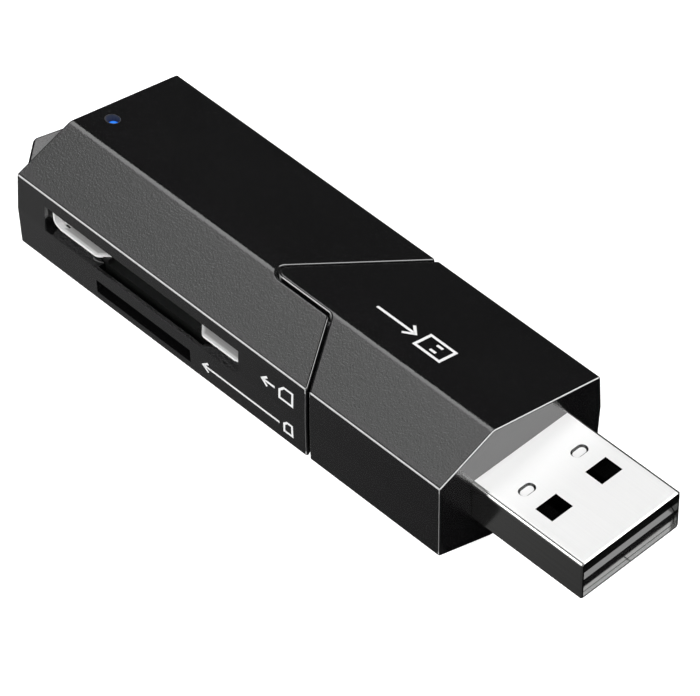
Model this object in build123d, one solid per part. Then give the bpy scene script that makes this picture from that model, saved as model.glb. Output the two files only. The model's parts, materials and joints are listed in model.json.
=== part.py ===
from build123d import *

import os
from math import atan2, cos, degrees, radians, tan

# USB memory card reader: two moulded housings round a circuit board with a USB-A plug,
# a full-size SD socket above the board and a micro SD socket below it.
# Drawn with the plug level: X runs from the tail to the plug, Y from the slot side to the far side,
# Z up from mid-height. The finished reader is then laid on its broad lower facet.

# Housing form
body_length = 53.8
body_width = 19.75
ridge_from_near = 6.62
near_wall_height = 8.4
ridge_height = 13.1
far_wall_height = 7.4
draft_angle = 1.75
wall = 1.1
front_wall = 2.0
edge_round = 0.3
end_round = 0.16
ridge_round = 0.9

# Joint line between the housings: its corner at the ridge from the rear end, then its runs from there
seam_gap = 0.25
seam_ridge_x = 34.0
seam_near_run = 3.65
seam_tongue_length = 8.25
seam_far_run = 8.0
seam_ridge_inset = 0.35
seam_tip_round = 1.2
seam_corner_round = 0.6
seam_rim_round = 0.2
spigot_reach = 2.0
spigot_wall = 0.7
spigot_gap = 0.1
spigot_root = 2.0

# Lanyard tail
tail_reach = 5.2
tail_thickness = 1.5
tail_near_inset = 0.3
tail_far_inset = 1.2
tail_far_reach = 1.7
tail_round = 0.8
tail_edge = 0.25
lanyard_slot_length = 4.5
lanyard_slot_width = 1.8
lanyard_slot_x = -1.6
lanyard_slot_from_near = 8.1

# Circuit board
board_thickness = 1.0
board_rear_gap = 0.25
board_side_gap = 0.1
board_nose_gap = 0.3
board_nose_start = 30.0
board_rail_height = 0.7
board_rail_width = 1.2
board_stop_gap = 0.3
fit_gap = 0.1

# USB-A plug
plug_width = 12.0
plug_height = 4.5
plug_exposed = 12.9
plug_sheet = 0.3
plug_round = 0.4
plug_inside = 3.5
plug_hole_gap = 0.04
latch_width = 2.5
latch_length = 2.0
latch_from_front = 6.14
latch_spacing = 6.04
dimple_from_front = 9.17
dimple_spacing = 6.36
dimple_length = 1.75
dimple_width = 1.1
dimple_depth = 0.18
dimple_slope = 45.0
shell_slit = 0.12
leg_length = 2.6
leg_height = 2.2
insulator_recess = 0.35
insulator_top = -0.1
insulator_chamfer = 0.32
insulator_gap = 0.05
plug_cavity = 9.0
usb_contact_width = 1.0
usb_contact_sheet = 0.25
usb_contact_proud = 0.05
usb_power_recess = 1.6
usb_data_recess = 2.6
usb_outer_spacing = 7.0
usb_inner_spacing = 2.0
usb_tail = 2.2

# SD slot and socket
sd_slot_start = 3.8
sd_slot_length = 25.2
sd_slot_top = 2.75
sd_slot_sill = 0.15
sd_sill_bevel = 0.35
sd_slot_corner = 0.9
sd_notch_start = 9.35
sd_notch_length = 16.0
sd_notch_floor = -0.2
sd_notch_ramp = 1.2
sd_notch_edge = 0.3
sd_notch_relief = 1.25
sd_socket_start = 4.15
sd_socket_width = 24.6
sd_back_room = 2.5
sd_sheet = 0.2
sd_lip_top = 0.5
sd_card_room = 2.2
sd_lip_set_back = 0.7
sd_lip_depth = 3.2
sd_left_lip = 6.75
sd_right_lip = 6.15
sd_lip_slant = 1.0
sd_lip_curve = 0.8
sd_lip_hem = 0.28
sd_cheek_bend = 0.7
sd_cheek_height = 1.95
sd_relief_length = 0.65
sd_relief_width = 0.35
sd_frame_wall = 0.8
sd_contact_count = 9
sd_contact_pitch = 2.5
sd_contact_width = 0.8
spring_sheet = 0.15
spring_gap = 0.06
sd_spring_reach = 5.0
sd_spring_rise = 0.45
solder_tail = 0.8
switch_spring_reach = 7.0

# Micro SD slot and socket
micro_slot_start = 10.45
micro_slot_length = 12.25
micro_slot_top = -1.75
micro_slot_height = 1.53
micro_socket_width = 11.9
micro_back_room = 4.3
micro_socket_height = 1.95
micro_sheet = 0.15
micro_frame_height = 0.6
micro_contact_count = 8
micro_contact_pitch = 1.1
micro_contact_width = 0.5
micro_spring_reach = 4.0
micro_spring_drop = 0.35

# Parts on the board
chip_length = 10.2
chip_width = 5.3
chip_height = 1.5
chip_stand_off = 0.1
lead_pitch = 0.65
leads_per_side = 14
lead_width = 0.3
lead_sheet = 0.15
lead_reach = 1.25
crystal_length = 3.2
crystal_width = 5.0
crystal_height = 1.1
chip_part_length = 1.6
chip_part_width = 0.8
chip_part_height = 0.6
chip_part_cap = 0.3
passive_row_pitch = 2.2
passive_edge_gap = 0.6
passive_count = 4

# Indicator
led_x = 2.15
led_from_near = 9.97
led_hole = 1.35
pipe_gap = 0.05
pipe_recess = 0.65
pipe_boss_wall = 0.55
pipe_boss_drop = 1.4
led_base_height = 0.25
led_lens_height = 0.35

# Derived places
slope = tan(radians(draft_angle))
near_y = -body_width / 2
far_y = body_width / 2
ridge_y = near_y + ridge_from_near
near_top_y = near_y + near_wall_height / 2 * slope
far_top_y = far_y - far_wall_height / 2 * slope
inner_near_y = near_y + wall
inner_far_y = far_y - wall
rear_wall_x = wall
plug_rear_x = body_length - plug_inside
plug_front_x = body_length + plug_exposed
usb_contact_top = insulator_top + usb_contact_proud
usb_contact_bottom = usb_contact_top - usb_contact_sheet
board_top = usb_contact_bottom
board_bottom = board_top - board_thickness
board_front_x = plug_rear_x - fit_gap
board_rear_x = rear_wall_x + board_rear_gap
board_nose_half_width = body_width / 2 - wall - spigot_gap - spigot_wall - board_nose_gap
board_stop_near = plug_width / 2 + board_stop_gap
led_y = near_y + led_from_near
far_tilt = atan2((ridge_height - far_wall_height) / 2, far_top_y - ridge_y)
roof_at_led = ridge_height / 2 - (led_y - ridge_y) * tan(far_tilt)
ceiling_at_led = roof_at_led - wall / cos(far_tilt)
sd_socket_end = sd_socket_start + sd_socket_width
sd_mouth_y = inner_near_y + fit_gap
sd_socket_depth = inner_far_y - sd_mouth_y - sd_back_room
sd_back_y = sd_mouth_y + sd_socket_depth
sd_lip_bottom = sd_lip_top - sd_sheet
sd_roof = sd_lip_top + sd_card_room
sd_base_top = sd_lip_bottom - spring_gap
micro_middle_x = micro_slot_start + micro_slot_length / 2
micro_socket_start = micro_middle_x - micro_socket_width / 2
micro_socket_end = micro_middle_x + micro_socket_width / 2
micro_socket_depth = inner_far_y - sd_mouth_y - micro_back_room
micro_back_y = sd_mouth_y + micro_socket_depth
micro_floor = board_bottom - micro_socket_height
micro_base = board_bottom - micro_frame_height
led_top = board_top + led_base_height + led_lens_height
chip_middle_x = (sd_socket_end + plug_rear_x - usb_tail) / 2
chip_start = chip_middle_x - chip_length / 2
passive_row_start = chip_middle_x - (passive_count - 1) / 2 * passive_row_pitch
passive_row_offset = board_nose_half_width - passive_edge_gap - chip_part_length / 2


def block(x_range, y_range, z_range):
    """Plain block between pairs of coordinates."""
    sizes = [high - low for low, high in (x_range, y_range, z_range)]
    middle = [(high + low) / 2 for low, high in (x_range, y_range, z_range)]
    return Pos(*middle) * Box(*sizes)


def section(inset=0.0):
    """Six-sided housing section, drafted from mid-height and moved inward by inset."""
    upper = [
        (near_y, 0),
        (near_top_y, near_wall_height / 2),
        (ridge_y, ridge_height / 2),
        (far_top_y, far_wall_height / 2),
        (far_y, 0),
    ]
    lower = [(y, -z) for y, z in reversed(upper[1:-1])]
    outline = make_face(Polyline(*upper, *lower, close=True))
    if inset > 0:
        outline = offset(outline, -inset, kind=Kind.INTERSECTION)
    return Plane.YZ * outline


def sleeve(inset, start, end):
    """Prism along X with the housing section moved inward by inset."""
    return Pos(X=start) * extrude(section(inset), end - start)


def outer_half():
    """Upper half of the whole rounded form, down to mid-height."""
    top = ridge_height / 2
    upper = section().face() & (Plane.YZ * Pos(Y=top) * Rectangle(2 * body_width, ridge_height))
    half = extrude(upper, body_length)
    side = Polyline(
        (0, 0),
        (top * slope, top),
        (body_length - top * slope, top),
        (body_length, 0),
        close=True,
    )
    half = half & extrude(Plane.XZ * make_face(side), body_width, both=True)
    ridge = half.edges().filter_by(Axis.X).sort_by(Axis.Z)[-1]
    half = fillet(ridge, ridge_round)
    long_edges = [edge for edge in half.edges().filter_by(Axis.X) if edge.center().Z > 0.05]
    half = fillet([edge for edge in long_edges if not is_ridge_side(edge)], edge_round)
    ends = [face for face in half.faces() if abs(face.normal_at().X) > 0.9]
    return fillet([edge for face in ends for edge in face.edges() if edge.center().Z > 0.01], end_round)


def is_ridge_side(edge):
    """The two straight sides of the ridge rounding, which stay as they are."""
    return abs(edge.center().Y - ridge_y) < ridge_round


def rear_plan():
    """Plan of all that lies behind the joint line, whose outer runs go on past the side walls."""
    margin = body_width
    edge_y = ridge_y - seam_ridge_inset
    near_slant = seam_near_run / (edge_y - near_y)
    far_slant = seam_far_run / (far_y - edge_y)
    near_x = seam_ridge_x + near_slant * (edge_y - near_y + margin)
    tip_x = seam_ridge_x - seam_tongue_length
    far_x = tip_x + far_slant * (far_y - edge_y + margin)
    plan = make_face(
        Polyline(
            (-margin, near_y - margin),
            (near_x, near_y - margin),
            (seam_ridge_x, edge_y),
            (tip_x, edge_y),
            (far_x, far_y + margin),
            (-margin, far_y + margin),
            close=True,
        )
    )
    tip = plan.vertices().sort_by_distance((tip_x, edge_y, 0))[0]
    plan = fillet(tip, seam_tip_round)
    corner = plan.vertices().sort_by_distance((seam_ridge_x, edge_y, 0))[0]
    return fillet(corner, seam_corner_round)


def front_plan():
    """Plan of all that lies in front of the joint line and its gap."""
    everything = Pos(X=body_length) * Rectangle(2 * body_length, 2 * body_width)
    return everything - offset(rear_plan(), seam_gap, kind=Kind.INTERSECTION)


def upright(plan):
    """Prism of a plan through the whole height of the housing."""
    return extrude(plan, ridge_height, both=True)


def joint_rims(half):
    """Edges where the upright walls of the joint meet the outer surface."""
    walls = [face for face in half.faces() if abs(face.normal_at().Z) < 1e-6]
    edges = [edge for face in walls for edge in face.edges() if edge.center().Z > 0.01]
    return [edge for edge in edges if sum(edge.is_same(other) for other in edges) == 1]


def outer_piece(half, plan):
    """Outer form of one housing: the half cut to a plan, its joint rim rounded, and its mirror image."""
    piece = half & upright(plan)
    piece = fillet(joint_rims(piece), seam_rim_round)
    return piece + mirror(piece, Plane.XY)


def tail():
    """Flat lanyard tail at mid-height, pointed under the ridge."""
    root_x = wall / 2
    outline = make_face(
        Polyline(
            (root_x, near_y + tail_near_inset),
            (0, near_y + tail_near_inset),
            (-tail_reach, ridge_y),
            (-tail_far_reach, far_y - tail_far_inset),
            (root_x, far_y - tail_far_inset),
            close=True,
        )
    )
    corners = outline.vertices().sort_by(Axis.X)[0:2]
    outline = fillet(corners, tail_round)
    plate = extrude(outline, tail_thickness / 2, both=True)
    faces = [edge for edge in plate.edges() if abs(edge.center().Z) > tail_thickness / 4]
    plate = fillet([edge for edge in faces if edge.center().X < 0], tail_edge)
    slot = Pos(lanyard_slot_x, near_y + lanyard_slot_from_near) * Rot(Z=90) * SlotOverall(
        lanyard_slot_length, lanyard_slot_width
    )
    return plate - extrude(slot, tail_thickness, both=True)


def sd_slot():
    """Cut of the SD slot: its sill is bevelled outside, notched in the middle and open at the rear corner."""
    slot_end = sd_slot_start + sd_slot_length
    notch_end = sd_notch_start + sd_notch_length
    outline = make_face(
        Polyline(
            (sd_slot_start, sd_slot_sill),
            (sd_notch_start, sd_slot_sill),
            (sd_notch_start + sd_notch_ramp, sd_notch_floor),
            (notch_end - sd_notch_ramp, sd_notch_floor),
            (notch_end, sd_slot_sill),
            (slot_end, sd_slot_sill),
            (slot_end, sd_slot_top),
            (sd_slot_start, sd_slot_top),
            close=True,
        )
    )
    through = Pos(Y=near_y + 1.5 * wall) * extrude(Plane.XZ * outline, 3 * wall)
    relief_drop = sd_notch_relief * 1.5 * wall / (1.5 * wall - sd_notch_edge)
    relief = make_face(
        Polyline(
            (near_y + sd_notch_edge, sd_notch_floor),
            (near_y + 1.5 * wall, sd_notch_floor),
            (near_y + 1.5 * wall, sd_notch_floor - relief_drop),
            close=True,
        )
    )
    floor_start = sd_notch_start + sd_notch_ramp
    floor_length = sd_notch_length - 2 * sd_notch_ramp
    through += Pos(X=floor_start) * extrude(Plane.YZ * relief, floor_length)
    bevel_drop = sd_sill_bevel * (sd_lip_set_back + wall) / sd_lip_set_back
    bevel = make_face(
        Polyline(
            (near_y + sd_lip_set_back, sd_slot_sill),
            (near_y - wall, sd_slot_sill),
            (near_y - wall, sd_slot_sill - bevel_drop),
            close=True,
        )
    )
    through += Pos(X=sd_slot_start) * extrude(Plane.YZ * bevel, sd_slot_length)
    corner_x = (sd_slot_start, sd_slot_start + sd_slot_corner)
    return through + block(corner_x, (near_y - wall, near_y + 1.5 * wall), (sd_notch_floor, sd_slot_sill))


def board_rails():
    """Ribs that hold the board: a groove on the far wall and two ledges beside the micro SD socket."""
    rail_x = (rear_wall_x / 2, sd_socket_end)
    far_band = (inner_far_y - board_rail_width, inner_far_y + wall / 4)
    near_band = (inner_near_y - wall / 4, inner_near_y + board_rail_width)
    over = (board_top + fit_gap, board_top + fit_gap + board_rail_height)
    under = (board_bottom - fit_gap - board_rail_height, board_bottom - fit_gap)
    ledge = 2 * board_rail_width
    left = (micro_socket_start - 1.5 * ledge, micro_socket_start - 0.5 * ledge)
    right = (micro_socket_end + 0.5 * ledge, micro_socket_end + 1.5 * ledge)
    rails = block(rail_x, far_band, over) + block(rail_x, far_band, under)
    return rails + block(left, near_band, under) + block(right, near_band, under)


def rear_housing(half):
    """Rear sleeve with both card slots, the indicator hole and the lanyard tail."""
    shell = outer_piece(half, rear_plan())
    shell += tail()
    shell -= sleeve(wall, rear_wall_x, body_length)
    boss_height = pipe_boss_drop + wall / 2
    boss_middle = ceiling_at_led + wall / 2 - boss_height / 2
    shell += Pos(led_x, led_y, boss_middle) * Cylinder(led_hole / 2 + pipe_boss_wall, boss_height)
    shell += board_rails()
    shell -= sd_slot()
    micro_x = (micro_slot_start, micro_slot_start + micro_slot_length)
    micro_z = (micro_slot_top - micro_slot_height, micro_slot_top)
    shell -= block(micro_x, (near_y - wall, near_y + 1.5 * wall), micro_z)
    shell -= Pos(led_x, led_y, ridge_height / 2) * Cylinder(led_hole / 2, ridge_height - 2 * led_top)
    return shell


def front_housing(half):
    """Nose with the plug opening, and a spigot that enters the rear sleeve all round."""
    plan = front_plan()
    inner = wall + spigot_gap + spigot_wall
    root = Pos(X=spigot_root) * plan
    reach = Pos(X=-spigot_reach) * plan
    shell = outer_piece(half, plan)
    shell -= sleeve(wall, 0, body_length - front_wall)
    bore = sleeve(inner, 0, body_length)
    collar = (sleeve(wall + spigot_gap, 0, body_length) - bore) & upright(reach - root)
    shoulder = (sleeve(wall / 2, 0, body_length) - bore) & upright(plan - root)
    shell += collar + shoulder
    stop_x = (board_front_x + fit_gap, body_length - front_wall / 2)
    stop_z = (board_bottom - fit_gap, board_top + fit_gap)
    for side in (-1, 1):
        stop_y = sorted((side * board_stop_near, side * board_nose_half_width))
        shell += block(stop_x, stop_y, stop_z)
    opening = plug_outline(plug_hole_gap)
    return shell - Pos(X=body_length - 2 * front_wall) * extrude(opening, 3 * front_wall)


def plug_outline(grow=0.0):
    """Rounded section of the plug in the YZ plane, grown on every side."""
    return Plane.YZ * RectangleRounded(plug_width + 2 * grow, plug_height + 2 * grow, plug_round + grow)


def usb_shell():
    """Folded plug shell with latch windows, pressed dimples, the fold's slit and two board legs."""
    length = plug_inside + plug_exposed
    tube = Pos(X=plug_rear_x) * extrude(plug_outline(), length)
    rim = tube.faces().sort_by(Axis.X)[-1].edges()
    tube = chamfer(rim, plug_sheet / 2.5)
    tube -= Pos(X=plug_rear_x) * extrude(plug_outline(-plug_sheet), length)
    for side in (-1, 1):
        latch = Pos(plug_front_x - latch_from_front, side * latch_spacing / 2)
        tube -= latch * Box(latch_length, latch_width, 2 * plug_height)
        dimple = Rot(Z=90) * SlotOverall(dimple_length, dimple_width)
        dimple = Pos(plug_front_x - dimple_from_front, side * dimple_spacing / 2, plug_height / 2) * dimple
        tube -= extrude(dimple, -dimple_depth, taper=dimple_slope)
        outer = side * plug_width / 2
        inner = side * (plug_width / 2 - plug_sheet)
        leg_z = (board_bottom - plug_sheet, board_bottom - plug_sheet + leg_height)
        tube += block((plug_rear_x - leg_length, plug_rear_x), sorted((outer, inner)), leg_z)
    slit = Pos(plug_rear_x + length / 2, 0, -plug_height / 2) * Box(length, shell_slit, 2 * plug_sheet)
    return tube - slit


def usb_contact_places():
    """Names, places across the plug and front set-backs of the four plug contacts."""
    return [
        ("usb_contact_power", -usb_outer_spacing / 2, usb_power_recess),
        ("usb_contact_data_minus", -usb_inner_spacing / 2, usb_data_recess),
        ("usb_contact_data_plus", usb_inner_spacing / 2, usb_data_recess),
        ("usb_contact_ground", usb_outer_spacing / 2, usb_power_recess),
    ]


def usb_insulator():
    """Tongue under the plug's open half and the block behind it, grooved for the contacts."""
    floor = -plug_height / 2 + plug_sheet + insulator_gap
    upper = plug_height / 2 - plug_sheet - insulator_gap
    half_width = plug_width / 2 - plug_sheet - insulator_gap
    nose_x = plug_front_x - insulator_recess
    cavity_x = plug_front_x - plug_cavity
    side = make_face(
        Polyline(
            (plug_rear_x, floor),
            (nose_x, floor),
            (nose_x, insulator_top - insulator_chamfer),
            (nose_x - insulator_chamfer, insulator_top),
            (cavity_x, insulator_top),
            (cavity_x, upper),
            (plug_rear_x, upper),
            close=True,
        )
    )
    body = extrude(Plane.XZ * side, half_width, both=True)
    long_edges = body.edges().filter_by(Axis.X)
    bends = [edge for edge in long_edges if abs(edge.center().Z) > abs(floor) - insulator_gap]
    body = fillet(bends, plug_round - plug_sheet)
    for name, middle, recess in usb_contact_places():
        groove_y = (middle - usb_contact_width / 2, middle + usb_contact_width / 2)
        groove_z = (usb_contact_bottom, usb_contact_top)
        body -= block((plug_rear_x, plug_front_x - recess), groove_y, groove_z)
    return body


def usb_contact(middle, recess):
    """Flat contact on the tongue, its tail on the board, its front end chamfered."""
    side = make_face(
        Polyline(
            (plug_rear_x - usb_tail, usb_contact_bottom),
            (plug_front_x - recess, usb_contact_bottom),
            (plug_front_x - recess, usb_contact_top - usb_contact_sheet / 2),
            (plug_front_x - recess - usb_contact_sheet, usb_contact_top),
            (plug_rear_x - usb_tail, usb_contact_top),
            close=True,
        )
    )
    return Pos(Y=middle) * extrude(Plane.XZ * side, usb_contact_width / 2, both=True)


def circuit_board():
    """Board that fills the rear sleeve and narrows to pass the spigot, notched for the plug's legs."""
    near = inner_near_y + board_side_gap
    far = inner_far_y - board_side_gap
    outline = make_face(
        Polyline(
            (board_rear_x, near),
            (board_nose_start, near),
            (board_nose_start, -board_nose_half_width),
            (board_front_x, -board_nose_half_width),
            (board_front_x, board_nose_half_width),
            (board_nose_start, board_nose_half_width),
            (board_nose_start, far),
            (board_rear_x, far),
            close=True,
        )
    )
    for side in (-1, 1):
        notch_length = leg_length + fit_gap
        notch = Rectangle(notch_length, plug_sheet + 2 * fit_gap)
        outline -= Pos(plug_rear_x - notch_length / 2, side * (plug_width - plug_sheet) / 2) * notch
    return Pos(Z=board_bottom) * extrude(outline, board_thickness)


def sd_lips():
    """Two floor lips with slanted, rounded ends and a gap between them, hemmed where they show."""
    front = near_y + sd_lip_set_back
    back = sd_mouth_y + sd_lip_depth
    bend = sd_cheek_bend + sd_sheet
    lips = []
    for side_x, way, length in ((sd_socket_start, 1, sd_left_lip), (sd_socket_end, -1, sd_right_lip)):
        end_x = side_x + way * length
        corner = (end_x - way * sd_lip_slant, front)
        outline = make_face(
            Polyline(
                (side_x, back),
                (side_x, sd_mouth_y),
                (side_x + way * bend, sd_mouth_y),
                (side_x + way * bend, front),
                corner,
                (end_x, front + sd_lip_slant),
                (end_x, back),
                close=True,
            )
        )
        outline = fillet(outline.vertices().sort_by_distance((*corner, 0))[0], sd_lip_curve)
        lip = Pos(Z=sd_lip_bottom) * extrude(outline, sd_sheet)
        hem_z = (sd_lip_top - sd_lip_hem, sd_lip_top)
        hem = Pos(Z=hem_z[0]) * extrude(outline, sd_lip_hem)
        lips.append(lip + (hem & block(sorted((side_x, end_x)), (front, inner_near_y), hem_z)))
    return lips


def sd_cheeks():
    """Sides of the steel cover carried forward beside the lips, each in a wide bend down to its lip."""
    width = sd_socket_width
    height = sd_card_room + 2 * sd_sheet
    middle = Pos(sd_socket_start + width / 2, sd_lip_bottom + height / 2)
    outer = middle * RectangleRounded(width, height, sd_cheek_bend + sd_sheet)
    inner = middle * RectangleRounded(width - 2 * sd_sheet, height - 2 * sd_sheet, sd_cheek_bend)
    start_y = near_y + sd_lip_set_back
    end_y = sd_mouth_y + sd_sheet
    band = Pos(Y=end_y) * extrude(Plane.XZ * (outer - inner), end_y - start_y)
    bend = sd_cheek_bend + sd_sheet
    kept_z = (sd_lip_bottom, sd_lip_bottom + sd_cheek_height)
    left = block((sd_socket_start, sd_socket_start + bend), (start_y, end_y), kept_z)
    right = block((sd_socket_end - bend, sd_socket_end), (start_y, end_y), kept_z)
    return [band & left, band & right]


def sd_fold_relief():
    """Two small holes that let the rear lip fold away from the side of the cover."""
    start_y = sd_mouth_y + fit_gap / 2
    depth_y = (start_y, start_y + sd_relief_width)
    hole_z = (sd_lip_bottom, sd_lip_top + sd_sheet)
    fold_x = (sd_socket_start, sd_socket_start + sd_relief_width)
    lip_start = sd_socket_start + sd_cheek_bend + sd_sheet
    lip_x = (lip_start, lip_start + sd_relief_length)
    return block(fold_x, depth_y, hole_z) + block(lip_x, depth_y, hole_z)


def sd_socket_shell():
    """Folded steel cover: roof, sides, lips and cheeks at the mouth, relief holes and four solder tabs."""
    width = sd_socket_width
    height = sd_card_room + 2 * sd_sheet
    middle = Pos(sd_socket_start + width / 2, (sd_lip_bottom + sd_roof + sd_sheet) / 2)
    outer = middle * RectangleRounded(width, height, 2 * sd_sheet)
    inner = middle * RectangleRounded(width - 2 * sd_sheet, height - 2 * sd_sheet, sd_sheet)
    tube = Pos(Y=sd_back_y) * extrude(Plane.XZ * (outer - inner), sd_socket_depth)
    inside_x = (sd_socket_start + 2 * sd_sheet, sd_socket_end - 2 * sd_sheet)
    tube -= block(inside_x, (sd_mouth_y, sd_back_y), (sd_lip_bottom, sd_lip_top))
    tube += sd_lips()
    tube += sd_cheeks()
    tube -= sd_fold_relief()
    for tab_y in (sd_mouth_y + sd_lip_depth, sd_back_y - sd_lip_depth):
        for edge_x in (sd_socket_start, sd_socket_end - sd_sheet):
            tab_z = (board_top, sd_lip_top + 2 * sd_sheet)
            tube += block((edge_x, edge_x + sd_sheet), (tab_y - sd_sheet, tab_y + 5 * sd_sheet), tab_z)
    return tube


def spring_path(back_y, base_z, board_z, way, reach, rise):
    """Bent strip of a socket contact: solder foot, riser, run through the back wall and sprung nose."""
    run_z = base_z + way * (spring_sheet / 2 + spring_gap / 2)
    foot_z = board_z + way * spring_sheet / 2
    riser_y = back_y + spring_gap + spring_sheet / 2
    return Polyline(
        (riser_y + solder_tail, foot_z),
        (riser_y, foot_z),
        (riser_y, run_z),
        (back_y - reach / 2, run_z),
        (back_y - reach * 0.85, run_z + way * rise),
        (back_y - reach, run_z + way * rise / 2),
    )


def spring_strip(path, middle_x, width, grow=0.0):
    """Strip of spring metal along a path in the YZ plane, grown for its slot."""
    strip = Plane.YZ * trace(path, spring_sheet + 2 * grow)
    return Pos(X=middle_x - width / 2 - grow) * extrude(strip, width + 2 * grow)


def sd_spring_path():
    return spring_path(sd_back_y, sd_base_top, board_top, 1, sd_spring_reach, sd_spring_rise)


def sd_contact_x(index):
    """Place of an SD contact along the slot."""
    middle_x = sd_socket_start + sd_socket_width / 2
    return middle_x + (index - (sd_contact_count - 1) / 2) * sd_contact_pitch


def switch_spring(side_x, way, grow=0.0):
    """Leaf of a card switch beside the card, held in the socket's back wall."""
    path = Polyline(
        (side_x, sd_back_y),
        (side_x, sd_back_y - switch_spring_reach / 2),
        (side_x - way * 2 * spring_sheet, sd_back_y - switch_spring_reach * 0.85),
        (side_x, sd_back_y - switch_spring_reach),
    )
    leaf = trace(path, spring_sheet + 2 * grow)
    height = sd_card_room / 4 + 2 * grow
    return Pos(Z=sd_lip_top + sd_card_room / 2 - height / 2) * extrude(leaf, height)


def switch_spring_x(way):
    """Place of a card switch leaf just inside the socket's side."""
    side = sd_socket_end if way > 0 else sd_socket_start
    return side - way * (2 * sd_sheet + spring_gap + 2 * spring_sheet)


def sd_socket_frame():
    """Moulded base and back wall inside the steel cover, slotted for the springs."""
    inset = sd_sheet + spring_gap
    frame_x = (sd_socket_start + inset, sd_socket_end - inset)
    base = block(frame_x, (sd_mouth_y, sd_back_y), (board_top, sd_base_top))
    mouth_x = (sd_socket_start + sd_left_lip, sd_socket_end - sd_right_lip)
    base -= block(mouth_x, (sd_mouth_y, sd_mouth_y + 2 * sd_lip_depth), (board_top, sd_base_top))
    wall_x = (frame_x[0] + sd_sheet, frame_x[1] - sd_sheet)
    base += block(wall_x, (sd_back_y - sd_frame_wall, sd_back_y), (board_top, sd_roof - spring_gap))
    for index in range(sd_contact_count):
        base -= spring_strip(sd_spring_path(), sd_contact_x(index), sd_contact_width, spring_gap / 2)
    for way in (-1, 1):
        base -= switch_spring(switch_spring_x(way), way, spring_gap / 2)
    return base


def micro_spring_path():
    return spring_path(micro_back_y, micro_base, board_bottom, -1, micro_spring_reach, micro_spring_drop)


def micro_contact_x(index):
    """Place of a micro SD contact along the slot."""
    return micro_middle_x + (index - (micro_contact_count - 1) / 2) * micro_contact_pitch


def microsd_socket_shell():
    """Folded steel tray under the board that carries the small card."""
    outer_x = (micro_socket_start, micro_socket_end)
    inner_x = (micro_socket_start + micro_sheet, micro_socket_end - micro_sheet)
    depth = (sd_mouth_y, micro_back_y)
    tray = block(outer_x, depth, (micro_floor, board_bottom))
    tray = fillet(tray.edges().filter_by(Axis.Y).group_by(Axis.Z)[0], 2 * micro_sheet)
    return tray - block(inner_x, depth, (micro_floor + micro_sheet, board_bottom))


def microsd_socket_frame():
    """Moulded base and back wall of the micro SD socket, slotted for its springs."""
    inset = micro_sheet + spring_gap
    frame_x = (micro_socket_start + inset, micro_socket_end - inset)
    frame = block(frame_x, (sd_mouth_y, micro_back_y), (micro_base, board_bottom))
    wall_y = (micro_back_y - sd_frame_wall, micro_back_y)
    frame += block(frame_x, wall_y, (micro_floor + micro_sheet + spring_gap, board_bottom))
    for index in range(micro_contact_count):
        place = micro_contact_x(index)
        frame -= spring_strip(micro_spring_path(), place, micro_contact_width, spring_gap / 2)
    return frame


def controller_package():
    """Moulded chip body with bevelled top edges and a round mark at its first lead."""
    bottom = board_top + chip_stand_off
    top = bottom + chip_height
    body = block((chip_start, chip_start + chip_length), (-chip_width / 2, chip_width / 2), (bottom, top))
    body = chamfer(body.faces().sort_by(Axis.Z)[-1].edges(), chip_height / 8)
    mark = Pos(chip_start + chip_width / 4, -chip_width / 4, top)
    return body - mark * Cylinder(chip_width / 12, chip_height / 8)


def controller_leads():
    """Gull-wing leads along both sides of the chip."""
    shoulder_z = board_top + chip_stand_off + chip_height / 2
    foot_z = board_top + lead_sheet / 2
    start = chip_width / 2
    leads = []
    for side in (-1, 1):
        path = Polyline(
            (side * start, shoulder_z),
            (side * (start + lead_reach * 0.35), shoulder_z),
            (side * (start + lead_reach * 0.55), foot_z),
            (side * (start + lead_reach), foot_z),
        )
        lead = extrude(Plane.YZ * trace(path, lead_sheet), lead_width)
        first = chip_start + (chip_length - (leads_per_side - 1) * lead_pitch - lead_width) / 2
        leads += [Pos(X=first + index * lead_pitch) * lead for index in range(leads_per_side)]
    return Compound(leads)


def crystal():
    """Flat metal can of the clock crystal on its ceramic base, under the board below the chip."""
    rim = crystal_height / 4
    base = extrude(RectangleRounded(crystal_length, crystal_width, rim), -crystal_height / 2)
    lid = extrude(RectangleRounded(crystal_length - rim, crystal_width - rim, rim), -crystal_height)
    return Pos(chip_middle_x, 0, board_bottom) * (base + lid)


def chip_part(middle_x, middle_y):
    """Small chip resistor or capacitor across the board, with raised end caps."""
    cap = chip_part_cap
    core = Box(chip_part_width - cap / 3, chip_part_length, chip_part_height - cap / 3)
    ends = [
        Pos(Y=side * (chip_part_length - cap) / 2) * Box(chip_part_width, cap, chip_part_height)
        for side in (-1, 1)
    ]
    return Pos(middle_x, middle_y, board_top + chip_part_height / 2) * (core + ends)


def indicator_led():
    """Small surface lamp: base and bevelled lens."""
    base = Pos(led_x, led_y, board_top + led_base_height / 2) * Box(
        chip_part_width, chip_part_length, led_base_height
    )
    lens = Box(chip_part_width, chip_part_length * 0.7, led_lens_height)
    lens = chamfer(lens.faces().sort_by(Axis.Z)[-1].edges(), led_lens_height / 3)
    return base + Pos(led_x, led_y, board_top + led_base_height + led_lens_height / 2) * lens


def light_pipe():
    """Clear rod from the lamp up into the indicator hole, sunk below the facet, with a rounded tip."""
    bottom = led_top + pipe_gap
    top = roof_at_led - pipe_recess
    radius = led_hole / 2 - pipe_gap
    rod = Pos(led_x, led_y, (bottom + top) / 2) * Cylinder(radius, top - bottom)
    return fillet(rod.faces().sort_by(Axis.Z)[-1].edges(), radius / 2)


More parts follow.
